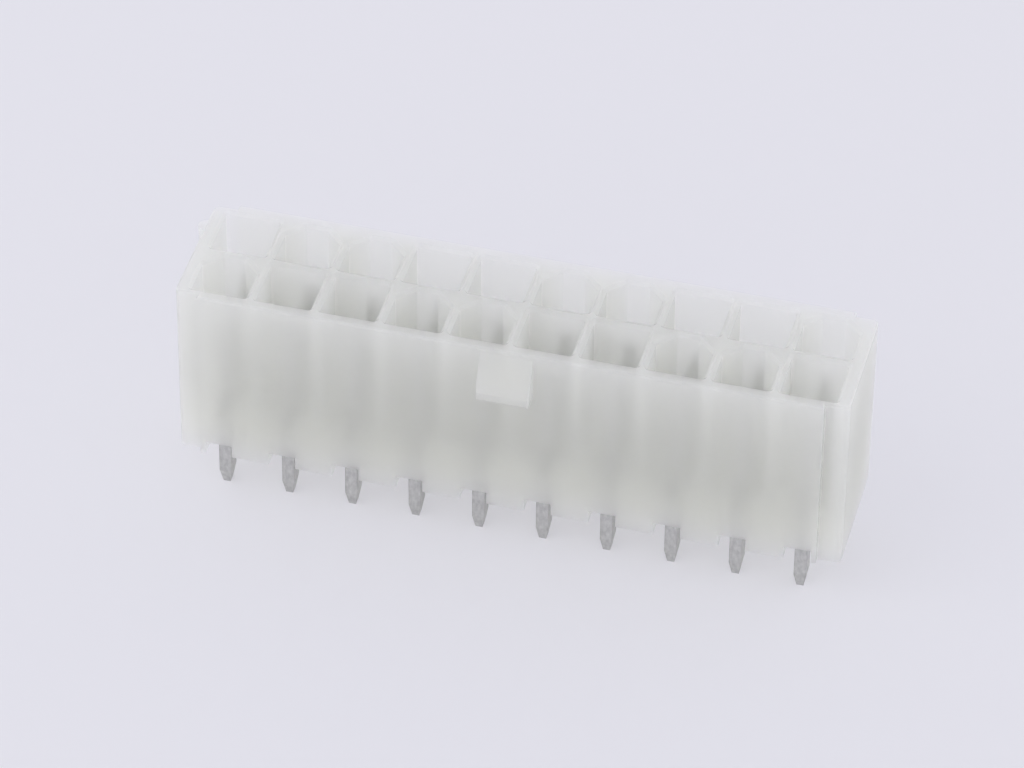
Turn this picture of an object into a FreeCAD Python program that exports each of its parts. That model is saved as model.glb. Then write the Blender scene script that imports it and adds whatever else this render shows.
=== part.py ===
"""Two-row board header with a moulded shroud and stamped pins, all lengths in millimetres.

The board's surface is the plane z = 0 and the shroud's middle is at x = y = 0. The columns run
along X, the latch ramp is on the front face at -Y, and a plug goes in from +Z.
"""
import FreeCAD, Part
import os
import Sketcher

SIZES = {
    # Grid of cells and pins
    "columns": 10,
    "column_pitch": 4.2,
    "row_pitch": 4.2,
    # Shroud
    "body_height": 12.8,
    "outer_wall": 0.9,
    "partition": 0.6,
    "floor_top": 3.4,
    "key_chamfer": 1.1,
    "cell_radius": 0.2,
    "lead_in": 0.22,
    "rim_chamfer": 0.12,
    "corner_radius": 0.4,
    "end_strip": 1.5,
    "strip_recess": 0.4,
    "channel_width": 1.75,
    "channel_height": 0.9,
    # Latch ramp on the front face
    "ramp_width": 3.4,
    "ramp_proud": 1.2,
    "ramp_start": 0.25,
    "ramp_drop": 3.3,
    "ramp_land": 0.65,
    "ramp_radius": 0.2,
    # Gate stub on the left end
    "stub_radius": 0.5,
    "stub_length": 2.2,
    "stub_drop": 0.1,
    "stub_inset": 2.4,
    # Pins
    "pin_thickness": 0.8,
    "pin_width": 1.07,
    "pin_clearance": 0.03,
    "shoulder_top": 2.4,
    "post_tip": 9.4,
    "post_taper": 1.3,
    "tail_length": 3.5,
    "tail_taper": 1.05,
    "tip_thickness": 0.46,
    "tip_width": 0.6,
    "front_tail_jog": 0.85,
    "back_tail_jog": 0.45,
}

doc = FreeCAD.newDocument("pin_header")
sheet = doc.addObject("Spreadsheet::Sheet", "Sizes")
for line, (alias, number) in enumerate(SIZES.items(), 1):
    sheet.set(f"A{line}", alias.replace("_", " "))
    sheet.set(f"B{line}", str(number))
    sheet.setAlias(f"B{line}", alias)
doc.recompute()

COLUMNS = int(sheet.columns)
PITCH = "Sizes.column_pitch"
CELL_LENGTH = "(Sizes.column_pitch - Sizes.partition)"
CELL_DEPTH = "(Sizes.row_pitch - Sizes.partition)"
HALF_LENGTH = f"((Sizes.columns - 1) * Sizes.column_pitch / 2 + {CELL_LENGTH} / 2 + Sizes.outer_wall)"
HALF_DEPTH = f"(Sizes.row_pitch / 2 + {CELL_DEPTH} / 2 + Sizes.outer_wall)"
FIRST_COLUMN = "(-(Sizes.columns - 1) * Sizes.column_pitch / 2)"
SLOT_THICKNESS = "(Sizes.pin_thickness + 2 * Sizes.pin_clearance)"

# Where each row's posts are, and how far outwards of them its tails stand.
ROW_Y = {"front": "(-Sizes.row_pitch / 2)", "back": "(Sizes.row_pitch / 2)"}
JOG = {"front": "Sizes.front_tail_jog", "back": "Sizes.back_tail_jog"}


def origin_part(body, role):
    """The body's own origin plane or axis with that role."""
    return next(item for item in body.Origin.OriginFeatures if item.Role == role)


def new_body(label):
    body = doc.addObject("PartDesign::Body", label)
    body.Label = label
    return body


def sketch_on(body, name, plane, lift=None):
    """An empty sketch on an origin plane, lifted along its normal by an expression."""
    sketch = body.newObject("Sketcher::SketchObject", name)
    sketch.AttachmentSupport = [(origin_part(body, plane), "")]
    sketch.MapMode = "FlatFace"
    if lift is not None:
        sketch.setExpression("AttachmentOffset.Base.z", lift)
    return sketch


def constrain(sketch, constraints):
    """Adds pairs of a constraint and the expression that drives it, or None, in one go."""
    indices = sketch.addConstraint([constraint for constraint, _ in constraints])
    for index, (_, expression) in zip(indices, constraints):
        if expression is not None:
            sketch.setExpression(f"Constraints[{index}]", expression)


def point_at(geometry, end, x, y):
    """The constraints that tie one point of a sketch to two expressions measured from its origin."""
    return [(Sketcher.Constraint("DistanceX", -1, 1, geometry, end, value_of(x)), x),
            (Sketcher.Constraint("DistanceY", -1, 1, geometry, end, value_of(y)), y)]


def value_of(expression):
    """The number that an expression of the sheet's sizes gives now."""
    return float(sheet.evalExpression(expression))


def add_polygons(sketch, outlines):
    """Closed outlines, each a list of corners given as pairs of expressions."""
    lines = []
    constraints = []
    for corners in outlines:
        points = [FreeCAD.Vector(value_of(x), value_of(y), 0) for x, y in corners]
        first = len(lines)
        count = len(points)
        for i, (x, y) in enumerate(corners):
            lines.append(Part.LineSegment(points[i], points[(i + 1) % count]))
            previous = first + (i - 1) % count
            constraints.append((Sketcher.Constraint("Coincident", previous, 2, first + i, 1), None))
            constraints += point_at(first + i, 1, x, y)
    sketch.addGeometry(lines, False)
    constrain(sketch, constraints)


def rectangle(left, right, low, high):
    return [(left, low), (right, low), (right, high), (left, high)]


def pad(body, name, sketch, length, midplane=False):
    feature = body.newObject("PartDesign::Pad", name)
    feature.Profile = sketch
    feature.Midplane = midplane
    feature.setExpression("Length", length)
    return feature


def pocket(body, name, sketch, length=None, upwards=False):
    """Cuts down from the sketch, or up from it, or through all on both sides with no length."""
    feature = body.newObject("PartDesign::Pocket", name)
    feature.Profile = sketch
    if length is None:
        feature.Type = "ThroughAll"
        feature.Midplane = True
    else:
        feature.Reversed = upwards
        feature.setExpression("Length", length)
    return feature


def repeat_columns(body, name, feature):
    """Repeats a feature of the first column in every other one."""
    pattern = body.newObject("PartDesign::LinearPattern", name)
    pattern.Originals = [feature]
    pattern.Direction = (origin_part(body, "X_Axis"), [""])
    pattern.setExpression("Length", f"(Sizes.columns - 1) * {PITCH}")
    pattern.setExpression("Occurrences", "Sizes.columns")
    body.Tip = pattern


def dress(body, kind, name, base, size_property, size, chosen):
    """A fillet or chamfer on the edges of the base feature that chosen accepts."""
    doc.recompute()
    edges = [f"Edge{i}" for i, edge in enumerate(base.Shape.Edges, 1) if chosen(edge)]
    feature = body.newObject(f"PartDesign::{kind}", name)
    feature.Base = (base, edges)
    feature.setExpression(size_property, size)
    return feature


def lies_at(edge, axis, place):
    """Whether both ends of an edge have that coordinate."""
    return all(abs(getattr(vertex.Point, axis) - place) < 1e-6 for vertex in edge.Vertexes)


def stands_on(edge, height):
    """Whether an edge is upright and starts at that height."""
    low, high = sorted(vertex.Point.z for vertex in edge.Vertexes)
    return abs(low - height) < 1e-6 and high - low > 1e-6


def is_keyed(row, column):
    """Keyed cells come in pairs along each row, and face square ones in the other row."""
    front_keyed = (column + 1) // 2 % 2 == 0
    return front_keyed if row == "front" else not front_keyed


def cell_outline(row, column):
    """A square cell, or a keyed one with both corners away from the latch cut off."""
    middle = f"({FIRST_COLUMN} + {column} * {PITCH})"
    left = f"{middle} - {CELL_LENGTH} / 2"
    right = f"{middle} + {CELL_LENGTH} / 2"
    low = f"{ROW_Y[row]} - {CELL_DEPTH} / 2"
    high = f"{ROW_Y[row]} + {CELL_DEPTH} / 2"
    if not is_keyed(row, column):
        return rectangle(left, right, low, high)
    cut = "Sizes.key_chamfer"
    return [(left, low), (right, low), (right, f"{high} - {cut}"), (f"{right} - {cut}", high),
            (f"{left} + {cut}", high), (left, f"{high} - {cut}")]


def shroud_outline():
    """The shroud from above, with a strip set back at each of its four corners."""
    x_end = HALF_LENGTH
    x_step = f"({HALF_LENGTH} - Sizes.end_strip)"
    y_face = HALF_DEPTH
    y_strip = f"({HALF_DEPTH} - Sizes.strip_recess)"
    quarter = [(x_end, y_strip), (x_step, y_strip), (x_step, y_face)]
    right_back = quarter
    left_back = [(f"-{x}", y) for x, y in reversed(quarter)]
    left_front = [(f"-{x}", f"-{y}") for x, y in quarter]
    right_front = [(x, f"-{y}") for x, y in reversed(quarter)]
    return right_back + left_back + left_front + right_front


def build_shroud():
    body = new_body("housing")

    outline = sketch_on(body, "shroud_outline", "XY_Plane")
    add_polygons(outline, [shroud_outline()])
    block = pad(body, "shroud_block", outline, "Sizes.body_height")

    end_x = value_of(HALF_LENGTH)
    dress(body, "Fillet", "outer_corners", block, "Radius", "Sizes.corner_radius",
          lambda edge: stands_on(edge, 0) and (lies_at(edge, "x", end_x) or lies_at(edge, "x", -end_x)))

    for row in ("front", "back"):
        openings = sketch_on(body, f"{row}_cell_outlines", "XY_Plane", "Sizes.body_height")
        add_polygons(openings, [cell_outline(row, column) for column in range(COLUMNS)])
        cells = pocket(body, f"{row}_cells", openings, "Sizes.body_height - Sizes.floor_top")

    floor_height = value_of("Sizes.floor_top")
    rounded = dress(body, "Fillet", "cell_corners", cells, "Radius", "Sizes.cell_radius",
                    lambda edge: stands_on(edge, floor_height))

    rim_height = value_of("Sizes.body_height")
    strip_y = value_of(f"{HALF_DEPTH} - Sizes.strip_recess")

    def is_outside(edge):
        return all(abs(vertex.Point.x) > end_x - 1e-6 or abs(vertex.Point.y) > strip_y - 1e-6
                   for vertex in edge.Vertexes)

    lead_ins = dress(body, "Chamfer", "lead_ins", rounded, "Size", "Sizes.lead_in",
                     lambda edge: lies_at(edge, "z", rim_height) and not is_outside(edge))
    dress(body, "Chamfer", "rim_edges", lead_ins, "Size", "Sizes.rim_chamfer",
          lambda edge: lies_at(edge, "z", rim_height) and is_outside(edge))

    channel = sketch_on(body, "channel_outline", "XY_Plane")
    add_polygons(channel, [rectangle(f"{FIRST_COLUMN} - Sizes.channel_width / 2",
                                     f"{FIRST_COLUMN} + Sizes.channel_width / 2",
                                     f"-{HALF_DEPTH}", HALF_DEPTH)])
    first_channel = pocket(body, "first_channel", channel, "Sizes.channel_height", upwards=True)
    repeat_columns(body, "channels", first_channel)

    slot_sides = (f"{FIRST_COLUMN} - {SLOT_THICKNESS} / 2", f"{FIRST_COLUMN} + {SLOT_THICKNESS} / 2")
    post_half = "(Sizes.pin_width / 2 + Sizes.pin_clearance)"
    for row, outward in (("front", "-"), ("back", "+")):
        inner = f"{ROW_Y[row]} {'+' if outward == '-' else '-'} {post_half}"
        outer = f"{ROW_Y[row]} {outward} {post_half}"
        tail_outer = f"{ROW_Y[row]} {outward} ({JOG[row]} + {post_half})"

        slot = sketch_on(body, f"{row}_slot_outline", "XY_Plane", "Sizes.floor_top")
        add_polygons(slot, [rectangle(*slot_sides, outer, inner)])
        first_slot = pocket(body, f"{row}_first_slot", slot, "Sizes.floor_top")
        repeat_columns(body, f"{row}_slots", first_slot)

        seat = sketch_on(body, f"{row}_seat_outline", "XY_Plane")
        add_polygons(seat, [rectangle(*slot_sides, tail_outer, inner)])
        first_seat = pocket(body, f"{row}_first_seat", seat, "Sizes.shoulder_top", upwards=True)
        repeat_columns(body, f"{row}_seats", first_seat)

    ramp = sketch_on(body, "ramp_profile", "YZ_Plane")
    wall_middle = f"({ROW_Y['front']} - {CELL_DEPTH} / 2 - {HALF_DEPTH}) / 2"
    nose = f"-{HALF_DEPTH} - Sizes.ramp_proud"
    underside = "Sizes.body_height - Sizes.ramp_drop"
    ramp_top = "Sizes.body_height - Sizes.ramp_start"
    add_polygons(ramp, [[(wall_middle, underside), (nose, underside), (nose, f"{underside} + Sizes.ramp_land"),
                         (f"-{HALF_DEPTH}", ramp_top), (wall_middle, ramp_top)]])
    latch_ramp = pad(body, "latch_ramp", ramp, "Sizes.ramp_width", midplane=True)

    nose_y = value_of(nose)
    land_top = value_of(f"{underside} + Sizes.ramp_land")
    dress(body, "Fillet", "ramp_edges", latch_ramp, "Radius", "Sizes.ramp_radius",
          lambda edge: lies_at(edge, "y", nose_y) and not lies_at(edge, "z", land_top))

    stub = sketch_on(body, "stub_outline", "XY_Plane",
                     "Sizes.body_height - Sizes.stub_drop - Sizes.stub_length")
    centre_x = f"-{HALF_LENGTH}"
    centre_y = f"{HALF_DEPTH} - Sizes.stub_inset"
    centre = FreeCAD.Vector(value_of(centre_x), value_of(centre_y), 0)
    circle = stub.addGeometry(Part.Circle(centre, FreeCAD.Vector(0, 0, 1), sheet.stub_radius), False)
    constrain(stub, [*point_at(circle, 3, centre_x, centre_y),
                     (Sketcher.Constraint("Radius", circle, sheet.stub_radius), "Sizes.stub_radius")])
    pad(body, "gate_stub", stub, "Sizes.stub_length")
    return body


def pin_side_profile(jog):
    """A pin from the side: tail, the shoulder that carries the jog, and the tapered post."""
    half = "Sizes.pin_width / 2"
    tip = "Sizes.tip_width / 2"
    tail_end = "-Sizes.tail_length"
    tail_full = "Sizes.tail_taper - Sizes.tail_length"
    post_full = "Sizes.post_tip - Sizes.post_taper"
    return [
        (f"-{jog} - {tip}", tail_end),
        (f"-{jog} + {tip}", tail_end),
        (f"-{jog} + {half}", tail_full),
        (f"-{jog} + {half}", "Sizes.channel_height"),
        (half, "Sizes.channel_height"),
        (half, post_full),
        (tip, "Sizes.post_tip"),
        (f"-{tip}", "Sizes.post_tip"),
        (f"-{half}", post_full),
        (f"-{half}", "Sizes.shoulder_top"),
        (f"-{jog} - {half}", "Sizes.shoulder_top"),
        (f"-{jog} - {half}", tail_full),
    ]


def build_pin(row, column):
    """One stamped pin. Its own origin is on its post's axis, and its tail stands off to -Y."""
    body = new_body(f"pin_{row}_{column + 1:02d}")

    side = sketch_on(body, f"{body.Label}_side", "YZ_Plane")
    add_polygons(side, [pin_side_profile(JOG[row])])
    pad(body, f"{body.Label}_blank", side, "Sizes.pin_thickness", midplane=True)

    coined = sketch_on(body, f"{body.Label}_tips", "XZ_Plane")
    slivers = []
    for sign in ("-", ""):
        flank = f"{sign}(Sizes.pin_thickness / 2)"
        tip = f"{sign}(Sizes.tip_thickness / 2)"
        slivers.append([(flank, "Sizes.tail_taper - Sizes.tail_length"),
                        (flank, "-Sizes.tail_length"), (tip, "-Sizes.tail_length")])
        slivers.append([(flank, "Sizes.post_tip - Sizes.post_taper"),
                        (flank, "Sizes.post_tip"), (tip, "Sizes.post_tip")])
    add_polygons(coined, slivers)
    pocket(body, f"{body.Label}_coining", coined)

    if row == "back":
        body.Placement.Rotation = FreeCAD.Rotation(FreeCAD.Vector(0, 0, 1), 180)
    body.setExpression("Placement.Base.x", f"{FIRST_COLUMN} + {column} * {PITCH}")
    body.setExpression("Placement.Base.y", ROW_Y[row])
    return body


def check_document(bodies):
    """Stops if anything failed, or if a feature left the volume of its body as it was."""
    for item in doc.Objects:
        if "Invalid" in item.State or "Error" in item.State:
            raise RuntimeError(f"{item.Label} failed: {item.State}")
    for body in bodies:
        if body.Shape.isNull() or not body.Shape.isValid() or len(body.Shape.Solids) != 1:
            raise RuntimeError(f"{body.Label} is not one valid solid")
        volume = 0.0
        for feature in body.Group:
            if feature.isDerivedFrom("Sketcher::SketchObject"):
                continue
            if abs(feature.Shape.Volume - volume) < 1e-6:
                raise RuntimeError(f"{feature.Label} changed nothing")
            volume = feature.Shape.Volume


bodies = [build_shroud()]
for row in ("front", "back"):
    for column in range(COLUMNS):
        bodies.append(build_pin(row, column))
doc.recompute()
check_document(bodies)

os.makedirs("parts", exist_ok=True)
for body in bodies:
    body.Shape.exportStep(f"parts/{body.Label}.step")
    box = body.Shape.BoundBox
    print(f"{body.Label}: {body.Shape.Volume:.2f} mm3, z {box.ZMin:.2f} to {box.ZMax:.2f}")
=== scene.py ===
"""Looks of the two-row pin header: milky nylon, tin-plated pins, a pale studio floor."""
from math import cos, radians, sin

import bpy
from mathutils import Matrix, Vector


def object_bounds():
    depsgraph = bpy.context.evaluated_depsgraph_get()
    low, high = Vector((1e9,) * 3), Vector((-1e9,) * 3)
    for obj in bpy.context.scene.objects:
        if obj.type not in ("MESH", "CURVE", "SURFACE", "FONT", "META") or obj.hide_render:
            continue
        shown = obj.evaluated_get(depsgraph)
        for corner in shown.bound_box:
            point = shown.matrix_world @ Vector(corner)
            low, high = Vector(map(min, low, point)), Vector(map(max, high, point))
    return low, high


MM = 0.001

# The photograph's view: where the camera stands, as seen from the middle of the shroud.
VIEW_AZIMUTH = 14.29
VIEW_ELEVATION = 40.61
VIEW_ROLL = 0.64
VIEW_DISTANCE = 372.4 * MM
VIEW_ASIDE = (-0.776 * MM, 4.764 * MM)
SENSOR_WIDTH = 36.0
LENS = 205.0

# Natural nylon: its clouds, its satin skin, and how much light each millimetre scatters (and how
# far forward) and soaks up.
CLOUD_SCALE = 0.35
CLOUD_TONES = ((0.994, 0.994, 0.994), (1.0, 1.0, 1.0))
SKIN_ROUGHNESS = (0.6, 0.64)
SKIN_INDEX = 1.18
MILKINESS = 1.0
FORWARD = 0.1
SOAK = 0.034
SOAK_COLOUR = (0.72, 0.77, 0.1, 1.0)
LIGHT_BOUNCES = 32

# Tin plate: its mottling, the streaks along the pin with how rough they leave it, and its rounded
# edges.
GRAIN_SCALE = 5.0
GRAIN_STRETCH = (1.0, 1.0, 0.5)
GRAIN_TONES = ((0.43, 0.43, 0.42), (0.79, 0.79, 0.765))
GRAIN_BUMP = 0.6
GRAIN_HEIGHT = 0.02 * MM
STREAK_SCALE = 6.0
STREAK_STRETCH = (1.0, 1.0, 0.12)
STREAK_ROUGHNESS = (0.38, 0.55)
PIN_EDGE = 0.15 * MM

# Floor: its two close tones, and the share of plain paleness in what is seen of it.
FLOOR_SIZE = 2.4
FLOOR_SCALE = 0.02
FLOOR_TONES = ((0.92, 0.92, 0.92), (0.93, 0.93, 0.93))
FLOOR_ROUGHNESS = 0.9
FLOOR_SPECULAR = 0.1
FLOOR_PALE = (0.81, 0.8, 0.87, 1.0)
PALE_SHARE = 0.45

# Light of the room overhead and at the level of the floor, and of the lamp at the front left.
ZENITH = (0.47, 0.47, 0.58, 1.0)
HORIZON = (1.21, 1.21, 1.24, 1.0)
LAMP_PLACE = (-0.35, -0.3, 0.5)
LAMP_SIZE = 0.5
LAMP_ENERGY = 0.5

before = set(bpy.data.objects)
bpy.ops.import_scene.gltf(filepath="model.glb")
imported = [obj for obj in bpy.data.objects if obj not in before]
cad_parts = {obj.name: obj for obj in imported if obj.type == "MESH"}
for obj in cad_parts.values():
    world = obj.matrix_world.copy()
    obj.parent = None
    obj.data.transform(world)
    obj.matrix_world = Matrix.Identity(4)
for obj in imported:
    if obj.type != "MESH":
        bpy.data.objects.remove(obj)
cad_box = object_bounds()


class Nodes:
    """A material's node tree with short calls to add and join nodes."""

    def __init__(self, name):
        self.material = bpy.data.materials.new(name)
        self.material.use_nodes = True
        self.tree = self.material.node_tree
        self.tree.nodes.clear()
        self.output = self.add("ShaderNodeOutputMaterial")

    def add(self, kind, **settings):
        node = self.tree.nodes.new(kind)
        for name, value in settings.items():
            setattr(node, name, value)
        return node

    def join(self, start, end):
        self.tree.links.new(start, end)

    def noise(self, scale, detail=4.0, stretch=(1.0, 1.0, 1.0)):
        """Noise in the object's own metres, with scale in features per millimetre."""
        place = self.add("ShaderNodeTexCoord")
        mapping = self.add("ShaderNodeMapping")
        mapping.inputs["Scale"].default_value = stretch
        noise = self.add("ShaderNodeTexNoise")
        noise.inputs["Scale"].default_value = scale / MM
        noise.inputs["Detail"].default_value = detail
        self.join(place.outputs["Object"], mapping.inputs["Vector"])
        self.join(mapping.outputs["Vector"], noise.inputs["Vector"])
        return noise.outputs["Fac"]

    def tone(self, factor, dark, light):
        """A colour that follows the factor from dark to light."""
        tone = self.add("ShaderNodeMix", data_type="RGBA")
        tone.inputs[6].default_value = (*dark, 1.0)
        tone.inputs[7].default_value = (*light, 1.0)
        self.join(factor, tone.inputs[0])
        return tone.outputs[2]

    def level(self, factor, low, high):
        """A number that follows the factor from low to high."""
        level = self.add("ShaderNodeMapRange")
        level.inputs["To Min"].default_value = low
        level.inputs["To Max"].default_value = high
        self.join(factor, level.inputs["Value"])
        return level.outputs["Result"]


def nylon():
    """Natural nylon: a satin skin over milky depth, so the walls glow and the pins show through."""
    nodes = Nodes("natural_nylon")
    shader = nodes.add("ShaderNodeBsdfPrincipled")
    shader.inputs["Transmission Weight"].default_value = 1.0
    shader.inputs["IOR"].default_value = SKIN_INDEX
    cloudy = nodes.noise(CLOUD_SCALE)
    nodes.join(nodes.tone(cloudy, *CLOUD_TONES), shader.inputs["Base Color"])
    nodes.join(nodes.level(cloudy, *SKIN_ROUGHNESS), shader.inputs["Roughness"])
    nodes.join(shader.outputs["BSDF"], nodes.output.inputs["Surface"])

    scatter = nodes.add("ShaderNodeVolumeScatter")
    scatter.inputs["Color"].default_value = (1.0, 1.0, 1.0, 1.0)
    scatter.inputs["Density"].default_value = MILKINESS / MM
    scatter.inputs["Anisotropy"].default_value = FORWARD
    soak = nodes.add("ShaderNodeVolumeAbsorption")
    soak.inputs["Color"].default_value = SOAK_COLOUR
    soak.inputs["Density"].default_value = SOAK / MM
    depth = nodes.add("ShaderNodeAddShader")
    nodes.join(scatter.outputs["Volume"], depth.inputs[0])
    nodes.join(soak.outputs["Volume"], depth.inputs[1])
    nodes.join(depth.outputs["Shader"], nodes.output.inputs["Volume"])
    return nodes.material


def tin():
    """Matte tin plate over stamped brass, mottled, with faint streaks along the pin."""
    nodes = Nodes("tinned_brass")
    shader = nodes.add("ShaderNodeBsdfPrincipled")
    shader.inputs["Metallic"].default_value = 1.0
    streaks = nodes.noise(STREAK_SCALE, detail=5.0, stretch=STREAK_STRETCH)
    grain = nodes.noise(GRAIN_SCALE, stretch=GRAIN_STRETCH)
    nodes.join(nodes.tone(grain, *GRAIN_TONES), shader.inputs["Base Color"])
    nodes.join(nodes.level(streaks, *STREAK_ROUGHNESS), shader.inputs["Roughness"])

    edge = nodes.add("ShaderNodeBevel", samples=8)
    edge.inputs["Radius"].default_value = PIN_EDGE
    bump = nodes.add("ShaderNodeBump")
    bump.inputs["Strength"].default_value = GRAIN_BUMP
    bump.inputs["Distance"].default_value = GRAIN_HEIGHT
    nodes.join(grain, bump.inputs["Height"])
    nodes.join(edge.outputs["Normal"], bump.inputs["Normal"])
    nodes.join(bump.outputs["Normal"], shader.inputs["Normal"])
    nodes.join(shader.outputs["BSDF"], nodes.output.inputs["Surface"])
    return nodes.material


def floor_material():
    """A pale board, partly plain paleness to the camera, metal and nylon: its shadow stays faint."""
    nodes = Nodes("floor")
    shader = nodes.add("ShaderNodeBsdfPrincipled")
    shader.inputs["Roughness"].default_value = FLOOR_ROUGHNESS
    shader.inputs["Specular IOR Level"].default_value = FLOOR_SPECULAR
    nodes.join(nodes.tone(nodes.noise(FLOOR_SCALE), *FLOOR_TONES), shader.inputs["Base Color"])

    path = nodes.add("ShaderNodeLightPath")
    seen = path.outputs["Is Camera Ray"]
    for ray in ("Is Glossy Ray", "Is Transmission Ray"):
        either = nodes.add("ShaderNodeMath", operation="MAXIMUM")
        nodes.join(seen, either.inputs[0])
        nodes.join(path.outputs[ray], either.inputs[1])
        seen = either.outputs["Value"]
    pale = nodes.add("ShaderNodeEmission")
    pale.inputs["Color"].default_value = FLOOR_PALE
    both = nodes.add("ShaderNodeMixShader")
    nodes.join(nodes.level(seen, 0.0, PALE_SHARE), both.inputs["Fac"])
    nodes.join(shader.outputs["BSDF"], both.inputs[1])
    nodes.join(pale.outputs["Emission"], both.inputs[2])
    nodes.join(both.outputs["Shader"], nodes.output.inputs["Surface"])
    return nodes.material


def dress(names, material):
    """Gives the bodies named, in each of their slots, the material."""
    for name in names:
        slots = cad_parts[name].material_slots
        if not slots:
            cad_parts[name].data.materials.append(material)
        for slot in slots:
            slot.material = material


def build_floor(height):
    """A wide floor under the pins' tips."""
    bpy.ops.mesh.primitive_plane_add(size=FLOOR_SIZE, location=(0.0, 0.0, height))
    floor = bpy.context.object
    floor.name = "floor"
    floor.data.materials.append(floor_material())


def light_studio():
    """A soft, slightly cool room, brighter at the sides than above, and one large lamp."""
    world = bpy.data.worlds.new("studio")
    bpy.context.scene.world = world
    world.use_nodes = True
    tree = world.node_tree
    place = tree.nodes.new("ShaderNodeTexCoord")
    split = tree.nodes.new("ShaderNodeSeparateXYZ")
    fade = tree.nodes.new("ShaderNodeMix")
    fade.data_type = "RGBA"
    fade.inputs[6].default_value = HORIZON
    fade.inputs[7].default_value = ZENITH
    tree.links.new(place.outputs["Generated"], split.inputs[0])
    tree.links.new(split.outputs["Z"], fade.inputs[0])
    tree.links.new(fade.outputs[2], tree.nodes["Background"].inputs["Color"])

    data = bpy.data.lights.new("soft_lamp", "AREA")
    data.shape = "SQUARE"
    data.size = LAMP_SIZE
    data.energy = LAMP_ENERGY
    lamp = bpy.data.objects.new("soft_lamp", data)
    lamp.location = LAMP_PLACE
    lamp.rotation_euler = (-lamp.location).to_track_quat("-Z", "Y").to_euler()
    bpy.context.collection.objects.link(lamp)


def place_camera():
    """Stands the camera where the photograph was taken from, aimed and rolled as it was."""
    azimuth = radians(VIEW_AZIMUTH)
    elevation = radians(VIEW_ELEVATION)
    back = Vector((sin(azimuth) * cos(elevation), -cos(azimuth) * cos(elevation), sin(elevation)))
    level = Vector((cos(azimuth), sin(azimuth), 0.0))
    upright = back.cross(level)
    roll = radians(VIEW_ROLL)
    right = cos(roll) * level + sin(roll) * upright
    up = cos(roll) * upright - sin(roll) * level
    data = bpy.data.cameras.new("camera")
    data.sensor_width = SENSOR_WIDTH
    data.lens = LENS
    data.clip_start = 0.01
    camera = bpy.data.objects.new("camera", data)
    turn = Matrix((right, up, back)).transposed().to_4x4()
    place = back * VIEW_DISTANCE + right * VIEW_ASIDE[0] + up * VIEW_ASIDE[1]
    camera.matrix_world = Matrix.Translation(place) @ turn
    bpy.context.collection.objects.link(camera)
    bpy.context.scene.camera = camera


dress(["housing"], nylon())
dress([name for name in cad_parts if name.startswith("pin_")], tin())
build_floor(cad_box[0][2])
light_studio()
place_camera()

scene = bpy.context.scene
scene.view_settings.view_transform = "Standard"
scene.cycles.max_bounces = LIGHT_BOUNCES
scene.cycles.glossy_bounces = LIGHT_BOUNCES
scene.cycles.transmission_bounces = LIGHT_BOUNCES
scene.cycles.volume_bounces = LIGHT_BOUNCES
